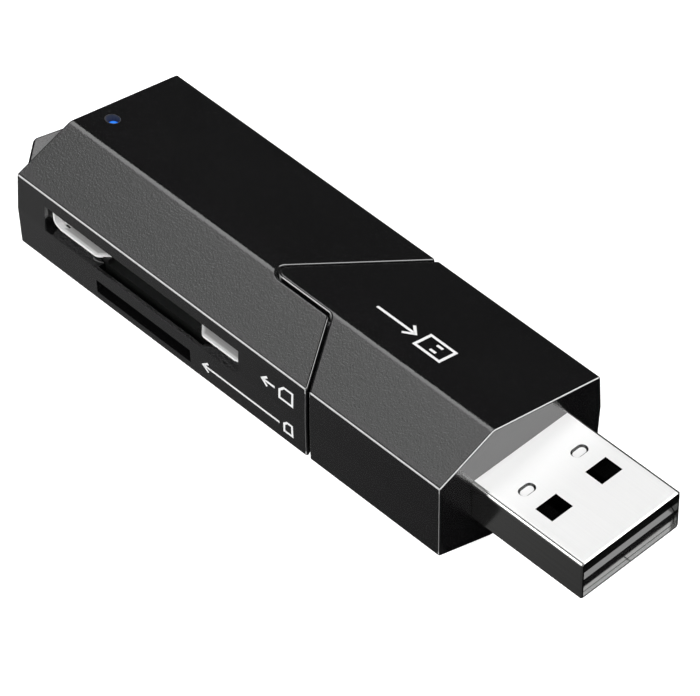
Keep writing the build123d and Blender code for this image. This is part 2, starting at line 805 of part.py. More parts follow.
def reader_pieces():
    """Every piece of the reader by name, drawn with the plug level."""
    half = outer_half()
    pieces = {
        "rear_housing": rear_housing(half),
        "front_housing": front_housing(half),
        "circuit_board": circuit_board(),
        "usb_shell": usb_shell(),
        "usb_insulator": usb_insulator(),
        "sd_socket_shell": sd_socket_shell(),
        "sd_socket_frame": sd_socket_frame(),
        "card_detect_spring": switch_spring(switch_spring_x(1), 1),
        "write_protect_spring": switch_spring(switch_spring_x(-1), -1),
        "microsd_socket_shell": microsd_socket_shell(),
        "microsd_socket_frame": microsd_socket_frame(),
        "controller_package": controller_package(),
        "controller_leads": controller_leads(),
        "crystal": crystal(),
        "indicator_led": indicator_led(),
        "light_pipe": light_pipe(),
    }
    for name, middle, recess in usb_contact_places():
        pieces[name] = usb_contact(middle, recess)
    for index in range(sd_contact_count):
        strip = spring_strip(sd_spring_path(), sd_contact_x(index), sd_contact_width)
        pieces[f"sd_contact_{index + 1}"] = strip
    for index in range(micro_contact_count):
        strip = spring_strip(micro_spring_path(), micro_contact_x(index), micro_contact_width)
        pieces[f"microsd_contact_{index + 1}"] = strip
    for index in range(passive_count):
        row_x = passive_row_start + index * passive_row_pitch
        pieces[f"capacitor_{index + 1}"] = chip_part(row_x, -passive_row_offset)
        pieces[f"resistor_{index + 1}"] = chip_part(row_x, passive_row_offset)
    return pieces


def lay_down(pieces):
    """Roll the reader onto its broad lower facet and centre its footprint on the origin."""
    rolled = {name: Rot(X=-degrees(far_tilt)) * piece for name, piece in pieces.items()}
    boxes = [piece.bounding_box() for piece in rolled.values()]
    middle_x = (min(box.min.X for box in boxes) + max(box.max.X for box in boxes)) / 2
    middle_y = (min(box.min.Y for box in boxes) + max(box.max.Y for box in boxes)) / 2
    floor_z = min(box.min.Z for box in boxes)
    return {name: Pos(-middle_x, -middle_y, -floor_z) * piece for name, piece in rolled.items()}


os.makedirs("parts", exist_ok=True)
for node, solid in lay_down(reader_pieces()).items():
    export_step(solid, f"parts/{node}.step")
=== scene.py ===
# %% [markdown]
# # Dressing a memory card reader
# The CAD model already holds every moulding, pressing and spring of this little black stick.
# This lesson gives each of them its finish, prints the plain marks on the housing, and lights
# the reader as a studio would. Nothing here moves or resizes the solids.

import json

import bpy
import numpy as np
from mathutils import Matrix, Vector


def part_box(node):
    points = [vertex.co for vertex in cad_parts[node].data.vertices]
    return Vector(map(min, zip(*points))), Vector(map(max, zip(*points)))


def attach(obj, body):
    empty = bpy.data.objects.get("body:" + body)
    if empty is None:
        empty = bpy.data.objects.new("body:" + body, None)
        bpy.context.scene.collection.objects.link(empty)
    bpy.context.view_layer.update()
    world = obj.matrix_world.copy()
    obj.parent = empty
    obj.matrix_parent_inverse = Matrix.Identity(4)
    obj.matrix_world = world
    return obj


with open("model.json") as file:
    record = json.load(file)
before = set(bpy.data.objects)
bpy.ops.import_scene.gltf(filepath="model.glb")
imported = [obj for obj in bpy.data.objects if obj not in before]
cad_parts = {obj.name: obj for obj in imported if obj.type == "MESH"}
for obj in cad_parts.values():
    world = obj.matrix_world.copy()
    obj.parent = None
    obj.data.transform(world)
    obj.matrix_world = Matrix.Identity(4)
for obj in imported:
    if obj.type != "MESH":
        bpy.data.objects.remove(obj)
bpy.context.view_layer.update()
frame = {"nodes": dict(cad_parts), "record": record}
mm_per_m = 1000


# %% [markdown]
# ## The reader's own directions
# The stick lies rolled over on one of its broad lower facets, so its slots and its plug are a
# little turned against the floor. Sizes are easier to think of along the stick itself: x from
# the rear end to the plug, y from the slot side to the far side, z upwards through the plug.
# The directions could be typed in as angles. Here they are read from the mounts of the
# record, so they follow the CAD model if it is ever rolled another way.

# %% Work out the reader's own directions
plug_tip_x = 66.7
mounts = {mount["name"]: mount for mount in frame["record"]["mounts"]}
plug_tip = np.array(mounts["usb_plug"]["pos_m"])
along = np.array(mounts["usb_plug"]["axis"], dtype=float)
across = -np.array(mounts["sd_slot"]["axis"])
upward = np.array(mounts["lanyard_slot"]["axis"])
stick_axes = np.stack([along, across, upward])
roll = np.degrees(np.arctan2(across[2], across[1]))


def turned(directions):
    """Each direction's x, y and z times the stick's own three directions, added up."""
    return np.asarray(directions, dtype=float) @ stick_axes


def placed(points_mm):
    """The plug's tip plus the turned distance from it, with millimetres made metres."""
    from_tip = np.asarray(points_mm, dtype=float) - np.array([plug_tip_x, 0.0, 0.0])
    return plug_tip + turned(from_tip) / mm_per_m


print("the stick lies rolled by", round(float(roll), 2), "degrees")

# %% [markdown]
# ## The camera
# The photograph looks down on the stick from its plug end and its slot side, through a long
# lens. A camera could be turned by hand until it looks right. Here its aim, distance, viewing
# direction and lens are the values that bring the housing's corners onto their places in the
# picture, and the camera's three axes are worked out from them.

# %% Set up the camera
aim_mm = np.array([33.564, -0.746, 0.0])
view_direction = np.array([0.50220, -0.48253, 0.71761])
view_distance_mm = 429.41
view_roll = np.radians(0.402)
sensor_width_mm = 36.0
lens_mm = 252.735
nearest_seen_m = 0.01

forward = turned(-view_direction / np.linalg.norm(view_direction))
level = np.cross(forward, upward)
level /= np.linalg.norm(level)
right = np.cos(view_roll) * level + np.sin(view_roll) * np.cross(forward, level)
camera_matrix = np.eye(4)
camera_matrix[:3, 0] = right
camera_matrix[:3, 1] = np.cross(right, forward)
camera_matrix[:3, 2] = -forward
camera_matrix[:3, 3] = placed(aim_mm) - forward * view_distance_mm / mm_per_m

camera = bpy.data.objects.new("studio_camera", bpy.data.cameras.new("studio_camera"))
camera.data.sensor_fit = "HORIZONTAL"
camera.data.sensor_width = sensor_width_mm
camera.data.lens = lens_mm
camera.data.clip_start = nearest_seen_m
camera.matrix_world = camera_matrix.T.tolist()
bpy.context.scene.collection.objects.link(camera)
bpy.context.scene.camera = camera
bpy.context.scene.view_settings.view_transform = "Standard"
print("camera at", [round(float(value), 4) for value in camera_matrix[:3, 3]])

# %% [markdown]
# ## Small helpers for node trees
# Every finish below is a small tree of nodes. Helpers that add one node, set its values and
# join its inputs keep each tree short enough to read as a recipe.

# %% Helpers that add nodes
# The colour sockets of a mix node share their names with others, so they go by number.
mix_first, mix_second, mix_result = 6, 7, 2


def wire(tree, node, inputs):
    """Each input named is joined to another node's output, or else given a value."""
    for name, value in inputs.items():
        if isinstance(value, bpy.types.NodeSocket):
            tree.links.new(value, node.inputs[name])
        else:
            node.inputs[name].default_value = value


def add(tree, kind, inputs=None, **settings):
    """One new node: its settings are assigned and its inputs are wired."""
    made = tree.nodes.new(kind)
    for name, value in settings.items():
        setattr(made, name, value)
    wire(tree, made, inputs or {})
    return made


def math_node(tree, operation, first, *others):
    """The result of one sum on a number, or on a row of numbers taken from the left."""
    result = first
    for other in others or [0.0]:
        result = add(tree, "ShaderNodeMath", {0: result, 1: other}, operation=operation).outputs[0]
    return result


def vector_node(tree, operation, output, *vectors):
    """One output of a sum on one or two vectors."""
    inputs = dict(enumerate(vectors))
    return add(tree, "ShaderNodeVectorMath", inputs, operation=operation).outputs[output]


def blended(tree, factor, first, second):
    """A colour that goes from first to second as factor goes from 0 to 1."""
    mix = add(tree, "ShaderNodeMix", {"Factor": factor}, data_type="RGBA")
    for socket, colour in ((mix_first, first), (mix_second, second)):
        joined = isinstance(colour, bpy.types.NodeSocket)
        wire(tree, mix, {socket: colour if joined else (*colour, 1.0)})
    return mix.outputs[mix_result]


def new_effect(name, inputs, outputs):
    """An empty shader group with named number inputs and outputs."""
    tree = bpy.data.node_groups.new(name, "ShaderNodeTree")
    for in_out, labels in (("INPUT", inputs), ("OUTPUT", outputs)):
        for label in labels:
            tree.interface.new_socket(name=label, in_out=in_out, socket_type="NodeSocketFloat")
    return tree, tree.nodes.new("NodeGroupInput").outputs, tree.nodes.new("NodeGroupOutput")


print("node helpers ready")

# %% [markdown]
# ## Masks, places and noise
# Most finishes change over the surface: by a smooth step between two limits, by the place on
# the stick, by the way the surface faces, or by chance. Each of these is a helper of its own,
# so that the recipes below say only which limits they use.

# %% Helpers for masks, places and noise


def remapped(tree, value, limits, ends):
    """A smooth change from the first end to the second while value goes from limit to limit."""
    inputs = {"Value": value, "From Min": limits[0], "From Max": limits[1]}
    inputs.update({"To Min": ends[0], "To Max": ends[1]})
    return add(tree, "ShaderNodeMapRange", inputs, interpolation_type="SMOOTHSTEP").outputs["Result"]


def rising(tree, value, limits):
    """A mask that is 0 below the first limit and 1 above the second."""
    return remapped(tree, value, limits, (0.0, 1.0))


def falling(tree, value, limits):
    """A mask that is 1 below the first limit and 0 above the second."""
    return remapped(tree, value, limits, (1.0, 0.0))


def between(tree, low, high, share):
    """Low plus a share of the way from low to high."""
    span = math_node(tree, "SUBTRACT", high, low)
    return math_node(tree, "ADD", low, math_node(tree, "MULTIPLY", span, share))


def object_place(tree):
    """The place on the surface, in the solid's own coordinates."""
    return add(tree, "ShaderNodeTexCoord").outputs["Object"]


def stick_mm(tree, place, axis):
    """How far a place lies along one of the stick's directions, in the stick's own millimetres."""
    reach = vector_node(tree, "DOT_PRODUCT", "Value", place, axis * mm_per_m)
    start = float(placed([0.0, 0.0, 0.0]) @ axis) * mm_per_m
    return math_node(tree, "SUBTRACT", reach, start)


def surface_normal(tree):
    """The direction that the surface faces."""
    return add(tree, "ShaderNodeNewGeometry").outputs["Normal"]


def facing(tree, normal, direction):
    """The cosine of the angle between the normal and a direction."""
    return vector_node(tree, "DOT_PRODUCT", "Value", normal, direction)


def noise(tree, place, scale, **shape):
    """The value of a noise texture, mostly between a third and two thirds."""
    return add(tree, "ShaderNodeTexNoise", {"Vector": place, "Scale": scale, **shape}).outputs["Fac"]


print("helpers for masks, places and noise ready")

# %% [markdown]
# ## Effect: moulded grain
# The black plastic isn't a mirror. The mould was spark eroded very finely, so the surface has
# a grain of about a fifth of a millimetre that breaks up reflections. A noise texture at that
# scale gives the height, and a second one, some millimetres wide, gives the slow change in
# gloss that handling leaves. Several plastics share the effect, so it is a group.

# %% Build the moulded grain effect
patch_limits = (0.35, 0.65)
speckle_limits = (0.3, 0.7)
noise_middle = 0.5

moulded_grain, grain_in, grain_out = new_effect(
    "moulded_grain",
    ["Grain per m", "Patch per m", "Dull", "Bright"],
    ["Height", "Roughness", "Speckle"],
)
grain_place = object_place(moulded_grain)
grain = noise(moulded_grain, grain_place, grain_in["Grain per m"], Detail=2.0, Roughness=0.6)
patches = noise(moulded_grain, grain_place, grain_in["Patch per m"], Detail=4.0, Roughness=0.55)
patch_mask = rising(moulded_grain, patches, patch_limits)
gloss = between(moulded_grain, grain_in["Bright"], grain_in["Dull"], patch_mask)
speckle = rising(moulded_grain, grain, speckle_limits)
height = math_node(moulded_grain, "SUBTRACT", grain, noise_middle)
wire(moulded_grain, grain_out, {"Height": height, "Roughness": gloss, "Speckle": speckle})
print("effect made:", moulded_grain.name)

# %% [markdown]
# ## Effect: polished edges with a painted highlight
# Pockets and fingers polish the corners of a black moulding first: its rounded edges turn
# glossier than its flats. On the plug's half the upright corners and the front rim are also
# tinted pale, and so is the long edge over the slots on its outer half: a painted highlight
# for the light those rounded edges catch. The highlight could be painted on by hand. Here the
# masks come from the normal: on a flat it points in one of the housing's few main directions,
# and where it points in none of them the surface is a rounded edge. An edge whose normal lies
# level is an upright corner, and one whose normal leans forward at the front end is the front
# rim. The small hole for the lamp is round, so it is taken out by its distance, and its wall
# stays dull.

# %% List the directions of the flats
half_heights = {"near wall": 4.2, "ridge": 6.55, "far wall": 3.7}
facet_runs = {"near": 6.49, "far": 13.02}
draft = np.radians(1.75)
wall_normals = np.array([[0, -1, 0], [0, 1, 0], [1, 0, 0], [-1, 0, 0]])
joint_normals = np.array([[0.853, -0.523, 0], [0.864, 0.503, 0]])

near_slope = np.arctan2(half_heights["ridge"] - half_heights["near wall"], facet_runs["near"])
far_slope = np.arctan2(half_heights["ridge"] - half_heights["far wall"], facet_runs["far"])
slopes = np.array([near_slope, -far_slope])
facet_directions = np.stack([0 * slopes, -np.sin(slopes), np.cos(slopes)], axis=1)
wall_directions = wall_normals * np.cos(draft) + [0, 0, np.sin(draft)]
upper_directions = np.concatenate([facet_directions, wall_directions, [[0, 0, 1]]])
lower_directions = upper_directions * np.array([1, 1, -1])
joint_directions = np.concatenate([joint_normals, -joint_normals])
flat_directions = turned(np.concatenate([upper_directions, lower_directions, joint_directions]))
print("flats face", len(flat_directions), "ways")

# %% Tell the edges from the flats
polish_limits = (0.98, 0.997)
rounded_limits = (0.955, 0.992)
corner_limits = (0.86, 0.97)

polish_and_edge_highlight, _, edge_out = new_effect("polish_and_edge_highlight", [], ["Polish", "Highlight", "Hole"])
edge_normal = surface_normal(polish_and_edge_highlight)
towards_flats = [facing(polish_and_edge_highlight, edge_normal, direction) for direction in flat_directions]
nearest_flat = math_node(polish_and_edge_highlight, "MAXIMUM", -1.0, *towards_flats)
polish = falling(polish_and_edge_highlight, nearest_flat, polish_limits)
rounded = falling(polish_and_edge_highlight, nearest_flat, rounded_limits)
corner = falling(polish_and_edge_highlight, nearest_flat, corner_limits)
print("edges are told from", len(towards_flats), "flats")

# %% Choose which edges get the painted highlight
front_half_mm = (18.0, 22.0)
front_end_mm = (49.0, 51.0)
long_edge_mm = (3.5, 3.7)
joint_highlight = 0.45
level_limits = (0.2, 0.5)
forward_limits = (0.2, 0.4)
outward_limits = (0.68, 0.78)

edge_place = object_place(polish_and_edge_highlight)
edge_x = stick_mm(polish_and_edge_highlight, edge_place, along)
edge_z = math_node(polish_and_edge_highlight, "ABSOLUTE", stick_mm(polish_and_edge_highlight, edge_place, upward))
front_half = rising(polish_and_edge_highlight, edge_x, front_half_mm)
front_end = rising(polish_and_edge_highlight, edge_x, front_end_mm)
joint_or_end = remapped(polish_and_edge_highlight, edge_x, front_end_mm, (joint_highlight, 1.0))
rise = math_node(polish_and_edge_highlight, "ABSOLUTE", facing(polish_and_edge_highlight, edge_normal, upward))
lies_level = falling(polish_and_edge_highlight, rise, level_limits)
upright = math_node(polish_and_edge_highlight, "MULTIPLY", lies_level, front_half, joint_or_end)
leans_forward = rising(polish_and_edge_highlight, facing(polish_and_edge_highlight, edge_normal, along), forward_limits)
front_rim = math_node(polish_and_edge_highlight, "MULTIPLY", leans_forward, front_end)
leans_outward = rising(polish_and_edge_highlight, facing(polish_and_edge_highlight, edge_normal, -across), outward_limits)
at_long_edge = rising(polish_and_edge_highlight, edge_z, long_edge_mm)
long_edge = math_node(polish_and_edge_highlight, "MULTIPLY", leans_outward, at_long_edge, rounded)
end_edges = math_node(polish_and_edge_highlight, "MAXIMUM", upright, front_rim)
ends_highlight = math_node(polish_and_edge_highlight, "MULTIPLY", corner, end_edges)
# The pale mask paints a highlight on these edges.
highlight_mask = math_node(polish_and_edge_highlight, "MAXIMUM", ends_highlight, long_edge)
print("worn pale: upright corners, front rim and long edge")

# %% Leave out the lamp's hole
lamp_clear_mm = (1.0, 1.3)
lamp_hole_mm = (0.70, 0.78)
lamp_low, lamp_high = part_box("light_pipe")
lamp_middle = (np.array(lamp_low) + np.array(lamp_high)) / 2


def lamp_reach_mm(tree, place):
    """How far a place is from the axis of the lamp's hole: the length of a cross product."""
    off = vector_node(tree, "SUBTRACT", "Vector", place, lamp_middle)
    aside = vector_node(tree, "CROSS_PRODUCT", "Vector", off, upward * mm_per_m)
    return vector_node(tree, "LENGTH", "Value", aside)


lamp_reach = lamp_reach_mm(polish_and_edge_highlight, edge_place)
clear = rising(polish_and_edge_highlight, lamp_reach, lamp_clear_mm)
clear_polish = math_node(polish_and_edge_highlight, "MULTIPLY", polish, clear)
clear_highlight = math_node(polish_and_edge_highlight, "MULTIPLY", highlight_mask, clear)
hole = falling(polish_and_edge_highlight, lamp_reach, lamp_hole_mm)
wire(polish_and_edge_highlight, edge_out, {"Polish": clear_polish, "Highlight": clear_highlight, "Hole": hole})
print("effect made:", polish_and_edge_highlight.name)

# %% [markdown]
# ## Effect: rolled strip
# The plug, the socket covers and the springs are stamped from rolled strip. The rolls leave
# faint lines along the strip, which stretch reflections. A noise stretched some eightyfold in
# one direction makes such lines. Each metal sets how fine they are and how dull it is.

# %% Build the rolled strip effect
stretch_scale = (0.012, 1.0, 1.0)
clouds_per_m = 260.0
tone_limits = (0.3, 0.7)

rolled_strip, strip_in, strip_out = new_effect(
    "rolled_strip", ["Lines per m", "Dull", "Bright"], ["Height", "Roughness", "Tone"]
)
strip_place = object_place(rolled_strip)
stretched = add(rolled_strip, "ShaderNodeMapping", {"Vector": strip_place, "Scale": stretch_scale})
strip_lines = noise(rolled_strip, stretched.outputs["Vector"], strip_in["Lines per m"], Detail=3.0)
strip_clouds = noise(rolled_strip, strip_place, clouds_per_m, Detail=3.0)
strip_gloss = between(rolled_strip, strip_in["Bright"], strip_in["Dull"], strip_clouds)
strip_tone = rising(rolled_strip, strip_lines, tone_limits)
wire(rolled_strip, strip_out, {"Height": strip_lines, "Roughness": strip_gloss, "Tone": strip_tone})
print("effect made:", rolled_strip.name)

# %% [markdown]
# ## Plastics
# Six plastics are in the reader: the housing, the plug's tongue, the socket frames, the chip,
# the printed board's mask and the resistors' coats. All are dark, and they differ in gloss
# and grain. Each could have a tree of its own. One recipe is easier to keep right: it takes
# the flat colour, the pale tint of its painted edge highlight and the grain, and each plastic
# gives its own values.

# %% Recipe for a plastic
polished_roughness = 0.07
hole_roughness = 0.7
finishes = {}


def gray(level):
    """A colour with the same share of red, green and blue."""
    return (level, level, level)


def new_finish(name):
    """The node tree and the surface node of a new material, which is kept under its name."""
    finishes[name] = bpy.data.materials.new(name)
    finishes[name].use_nodes = True
    tree = finishes[name].node_tree
    return tree, tree.nodes["Principled BSDF"]


def placed_effect(tree, effect, **values):
    """One use of an effect group, with its own values."""
    inputs = {label.replace("_", " "): value for label, value in values.items()}
    used = add(tree, "ShaderNodeGroup", node_tree=effect)
    wire(tree, used, inputs)
    return used.outputs


def plastic(name, flat, speckled, edge, index, grain_depth, **grain_values):
    """Flat colour mixed with its speckle, then with the painted highlight on its corners, over a gloss
    polished on edges.
    """
    tree, surface = new_finish(name)
    grained = placed_effect(tree, moulded_grain, **grain_values)
    wear_and_highlight = placed_effect(tree, polish_and_edge_highlight)
    colour = blended(tree, grained["Speckle"], flat, speckled)
    # The edge colour is laid on as a painted highlight.
    colour = blended(tree, wear_and_highlight["Highlight"], colour, edge)
    unpolished = math_node(tree, "SUBTRACT", 1.0, wear_and_highlight["Polish"])
    smoothed = math_node(tree, "MULTIPLY", grained["Roughness"], unpolished)
    in_hole = math_node(tree, "MULTIPLY", wear_and_highlight["Hole"], hole_roughness)
    roughness = math_node(tree, "MAXIMUM", smoothed, polished_roughness, in_hole)
    relief = math_node(tree, "MULTIPLY", grained["Height"], unpolished)
    bump = add(tree, "ShaderNodeBump", {"Height": relief, "Distance": grain_depth, "Strength": 1.0})
    wire(tree, surface, {"Base Color": colour, "Roughness": roughness, "IOR": index})
    wire(tree, surface, {"Normal": bump.outputs["Normal"]})


print("recipe for plastics ready")

# %% Make the six plastics
# Each plastic's edge colour is the tone of its painted edge highlight.
plastic(
    "housing_plastic",
    flat=(0.0032, 0.0032, 0.0034), speckled=(0.0052, 0.0052, 0.0055), edge=gray(0.40),
    index=2.0, grain_depth=2.1e-5, Grain_per_m=5500.0, Patch_per_m=120.0, Dull=0.15, Bright=0.12,
)
plastic(
    "insulator_plastic",
    flat=gray(0.005), speckled=gray(0.008), edge=gray(0.02),
    index=1.6, grain_depth=1e-6, Grain_per_m=9000.0, Patch_per_m=400.0, Dull=0.18, Bright=0.12,
)
plastic(
    "socket_plastic",
    flat=gray(0.006), speckled=gray(0.010), edge=gray(0.03),
    index=1.5, grain_depth=3e-6, Grain_per_m=6000.0, Patch_per_m=300.0, Dull=0.55, Bright=0.42,
)
plastic(
    "chip_plastic",
    flat=(0.020, 0.020, 0.021), speckled=(0.045, 0.045, 0.046), edge=gray(0.06),
    index=1.5, grain_depth=6e-6, Grain_per_m=12000.0, Patch_per_m=500.0, Dull=0.62, Bright=0.50,
)
plastic(
    "board_mask",
    flat=(0.002, 0.0025, 0.0022), speckled=(0.003, 0.004, 0.0035), edge=gray(0.004),
    index=1.5, grain_depth=3e-6, Grain_per_m=3000.0, Patch_per_m=700.0, Dull=0.62, Bright=0.50,
)
plastic(
    "resistor_body",
    flat=(0.030, 0.030, 0.032), speckled=(0.055, 0.055, 0.058), edge=gray(0.20),
    index=1.5, grain_depth=3e-6, Grain_per_m=9000.0, Patch_per_m=1500.0, Dull=0.45, Bright=0.30,
)
print("plastics made:", ", ".join(sorted(finishes)))

# %% [markdown]
# ## Metals
# The springs and contacts are gold on copper, and the chip's legs and the crystal's can are
# tinned. Gold is dear, so the plug's contacts carry it only near their tips. Further in they
# are painted nearly black, a painted shade for the dark inside the plug's shell. One recipe
# with the rolled lines serves them all.

# %% Recipe for a metal
# The contacts are painted nearly black between these places: painted shade for the dark inside the shell.
contact_shade_mm = (53.0, 63.5)
plating_fade_mm = 0.2
painted_shade_tone = gray(0.03)
line_strength = 0.3


def metal(name, tone, darker, line_depth, painted_shade_mm=None, **strip_values):
    """Two tones mixed along the rolled lines, over a gloss that clouds slowly.

    Between the two places of painted_shade_mm, measured along the stick, the metal is painted nearly black,
    a painted shade.
    """
    tree, surface = new_finish(name)
    rolled = placed_effect(tree, rolled_strip, **strip_values)
    colour = blended(tree, rolled["Tone"], darker, tone)
    if painted_shade_mm:
        start, end = painted_shade_mm
        strip_x = stick_mm(tree, object_place(tree), along)
        after_start = rising(tree, strip_x, (start - plating_fade_mm, start))
        before_end = falling(tree, strip_x, (end, end + plating_fade_mm))
        painted_shade = math_node(tree, "MULTIPLY", after_start, before_end)
        colour = blended(tree, painted_shade, colour, painted_shade_tone)
    relief = {"Height": rolled["Height"], "Distance": line_depth, "Strength": line_strength}
    bump = add(tree, "ShaderNodeBump", relief)
    wire(tree, surface, {"Base Color": colour, "Metallic": 1.0, "Roughness": rolled["Roughness"]})
    wire(tree, surface, {"Normal": bump.outputs["Normal"]})


metal(
    "contact_gold",
    tone=(0.83, 0.66, 0.33), darker=(0.72, 0.55, 0.26), line_depth=5e-7,
    painted_shade_mm=contact_shade_mm, Lines_per_m=9000.0, Dull=0.30, Bright=0.18,
)
metal(
    "tinned_metal",
    tone=(0.70, 0.70, 0.69), darker=gray(0.58), line_depth=1e-6,
    Lines_per_m=5000.0, Dull=0.42, Bright=0.28,
)
print("metals made: contact_gold, tinned_metal")

# %% [markdown]
# ## The plug's scuffed shell, with painted sheen, light and shade
# A plug slides between flat springs hundreds of times, which scuffs its two broad faces dull.
# These faces are also made pale and barely metallic, so that they stay white: a painted sheen.
# Next to the housing they are paler still, a painted light against the shade there. The
# rounded sides keep their bright plating, and the slanted walls of the pressed dimples are
# painted nearly black, a painted shade. One metal all over would miss that. Here the share of
# scuff is a mask from the normal, full where it points straight up or down on the outer faces,
# and the dimples' shade is a mask for slanted surface within the flats.

# %% Finish the plug's shell
scuff_and_sheen_limits = (0.985, 0.998)
outer_face_mm = (1.98, 2.03)
dimple_reach_mm = (4.3, 4.7)
dimple_level_mm = (1.97, 2.0)
dimple_end_mm = (plug_tip_x - 1.2, plug_tip_x - 0.8)
painted_light_mm = (54.0, 60.5)
plating_tones = ((0.68, 0.68, 0.67), (0.74, 0.74, 0.73))
# These tones, with metallic mostly taken off, make the broad faces a painted sheen that stays white.
scuff_and_sheen_tones = ((0.73, 0.73, 0.727), (0.75, 0.75, 0.747))
# Painted light: the broad faces are paler still next to the housing, where the plug lies in shade.
painted_light_tone = (0.94, 0.94, 0.937)
# Painted shade on the slanted walls of the dimples.
dimple_shade_tone = gray(0.03)
scuff_roughness = 0.28
scuff_and_sheen_cover = 0.85


def scuffed_and_painted_shell(name):
    """Bright plating, blended by the flat mask to a pale dull white that is also a painted sheen, and to
    painted shade by the dimple mask.
    """
    tree, surface = new_finish(name)
    rolled = placed_effect(tree, rolled_strip, Lines_per_m=9000.0, Dull=0.18, Bright=0.12)
    place = object_place(tree)
    shell_x = stick_mm(tree, place, along)
    shell_y = math_node(tree, "ABSOLUTE", stick_mm(tree, place, across))
    shell_z = math_node(tree, "ABSOLUTE", stick_mm(tree, place, upward))
    points_up = math_node(tree, "ABSOLUTE", facing(tree, surface_normal(tree), upward))
    # This mask gives the scuff and the painted sheen.
    on_face = rising(tree, shell_z, outer_face_mm)
    scuff_and_sheen = math_node(tree, "MULTIPLY", rising(tree, points_up, scuff_and_sheen_limits), on_face)
    outside_scuff_and_sheen = math_node(tree, "SUBTRACT", 1.0, scuff_and_sheen)
    within = falling(tree, shell_y, dimple_reach_mm)
    outside = rising(tree, shell_z, dimple_level_mm)
    behind_tip = falling(tree, shell_x, dimple_end_mm)
    dimple_shade = math_node(tree, "MULTIPLY", within, outside, behind_tip, outside_scuff_and_sheen)
    plating = blended(tree, rolled["Tone"], *plating_tones)
    scuffed_and_sheen = blended(tree, rolled["Tone"], *scuff_and_sheen_tones)
    scuffed_and_sheen = blended(tree, falling(tree, shell_x, painted_light_mm), scuffed_and_sheen, painted_light_tone)
    colour = blended(tree, dimple_shade, blended(tree, scuff_and_sheen, plating, scuffed_and_sheen), dimple_shade_tone)
    added_roughness = math_node(tree, "MULTIPLY", scuff_and_sheen, scuff_roughness)
    roughness = math_node(tree, "ADD", rolled["Roughness"], added_roughness)
    covered = math_node(tree, "MULTIPLY", scuff_and_sheen, scuff_and_sheen_cover)
    metallic = math_node(tree, "SUBTRACT", 1.0, covered)
    wire(tree, surface, {"Base Color": colour, "Metallic": metallic, "Roughness": roughness})


scuffed_and_painted_shell("plug_steel")
print("plug's shell finished:", finishes["plug_steel"].name)

# %% [markdown]
# ## The socket covers
# Each slot shows the folded sheet cover of its socket. In the large slot the cover has two
# floor lips of dull gray strip. Their rims, the cheeks where the sheet bends up, and the faces
# turned outwards carry a painted highlight, and further in the strip darkens as painted shade.
# The rims could be picked out by hand. Here the distance from the lips' outline, worked out
# from the place on the stick, gives the mask. The cover in the thin slot is painted nearly
# black all over, a painted shade.

# %% Finish the socket covers
lip_front_mm = -9.175
lip_gap_middle_mm = 16.75
lip_gap_half_mm = 5.85
lip_slant_mm = 1.0
rim_mm = (0.10, 0.42)
shaded_in_mm = (0.4, 1.9)
rear_cheek_mm = (5.2, 5.7)
front_cheek_mm = (28.0, 28.3)
turned_out_limits = (0.15, 0.6)
dull_tones = ((0.42, 0.42, 0.417), (0.48, 0.48, 0.477))
shaded_tone = gray(0.22)
# These tones are the painted highlight on the rims, cheeks and outward faces.
highlight_tones = ((0.90, 0.90, 0.895), (0.96, 0.96, 0.955))


def highlighted_cover(name):
    """Strip with painted shade inwards, and a painted highlight at the rims, at the cheeks and on outward
    faces.

    The distance from a lip's outline is the smallest of three: from its front, from its end,
    and from the slanted line across its corner, which is their sum less the slant over root two.
    """
    tree, surface = new_finish(name)
    rolled = placed_effect(tree, rolled_strip, Lines_per_m=7000.0, Dull=0.50, Bright=0.40)
    place = object_place(tree)
    cover_x = stick_mm(tree, place, along)
    from_front = math_node(tree, "SUBTRACT", stick_mm(tree, place, across), lip_front_mm)
    from_middle = math_node(tree, "SUBTRACT", cover_x, lip_gap_middle_mm)
    from_end = math_node(tree, "SUBTRACT", math_node(tree, "ABSOLUTE", from_middle), lip_gap_half_mm)
    both = math_node(tree, "ADD", from_front, from_end)
    past_slant = math_node(tree, "SUBTRACT", both, lip_slant_mm)
    from_slant = math_node(tree, "DIVIDE", past_slant, float(np.sqrt(2)))
    from_rim = math_node(tree, "MINIMUM", from_front, from_end, from_slant)
    rim = falling(tree, from_rim, rim_mm)
    rear_cheek = falling(tree, cover_x, rear_cheek_mm)
    front_cheek = rising(tree, cover_x, front_cheek_mm)
    outward = rising(tree, facing(tree, surface_normal(tree), -across), turned_out_limits)
    # The painted highlight falls where any of these masks is full.
    highlight_by = math_node(tree, "MAXIMUM", rim, rear_cheek, front_cheek, outward)
    dull = blended(tree, rolled["Tone"], *dull_tones)
    dull = blended(tree, rising(tree, from_front, shaded_in_mm), dull, shaded_tone)
    highlight_tone = blended(tree, rolled["Tone"], *highlight_tones)
    colour = blended(tree, highlight_by, dull, highlight_tone)
    wire(tree, surface, {"Base Color": colour, "Roughness": rolled["Roughness"]})


highlighted_cover("socket_steel")
# The thin slot's cover is painted nearly black: a painted shade for the dark slot.
metal(
    "painted_shade_cover",
    tone=gray(0.020), darker=gray(0.014), line_depth=8e-7,
    Lines_per_m=7000.0, Dull=0.60, Bright=0.50,
)
own_finishes = {"microsd_socket_shell": "painted_shade_cover"}
print("socket covers finished: socket_steel and painted_shade_cover")

# %% [markdown]
# ## Small parts of the lamp and the board
# The capacitors are brown ceramic blocks with tinned ends, the lamp is a clear resin block,
# and above it a short blue light pipe carries its glow to the small hole in the top. A lit
# lamp could be a real light inside the hole. A glow painted on the pipe's own end is steadier.

# %% Make the ceramic, lamp and pipe finishes
glow_fade_mm = (0.15, 0.6)
glow_tones = ((0.03, 0.27, 1.0), (0.005, 0.09, 0.55))
pipe_tones = ((0.01, 0.05, 0.28), (0.015, 0.07, 0.33))
resin_index = 1.5

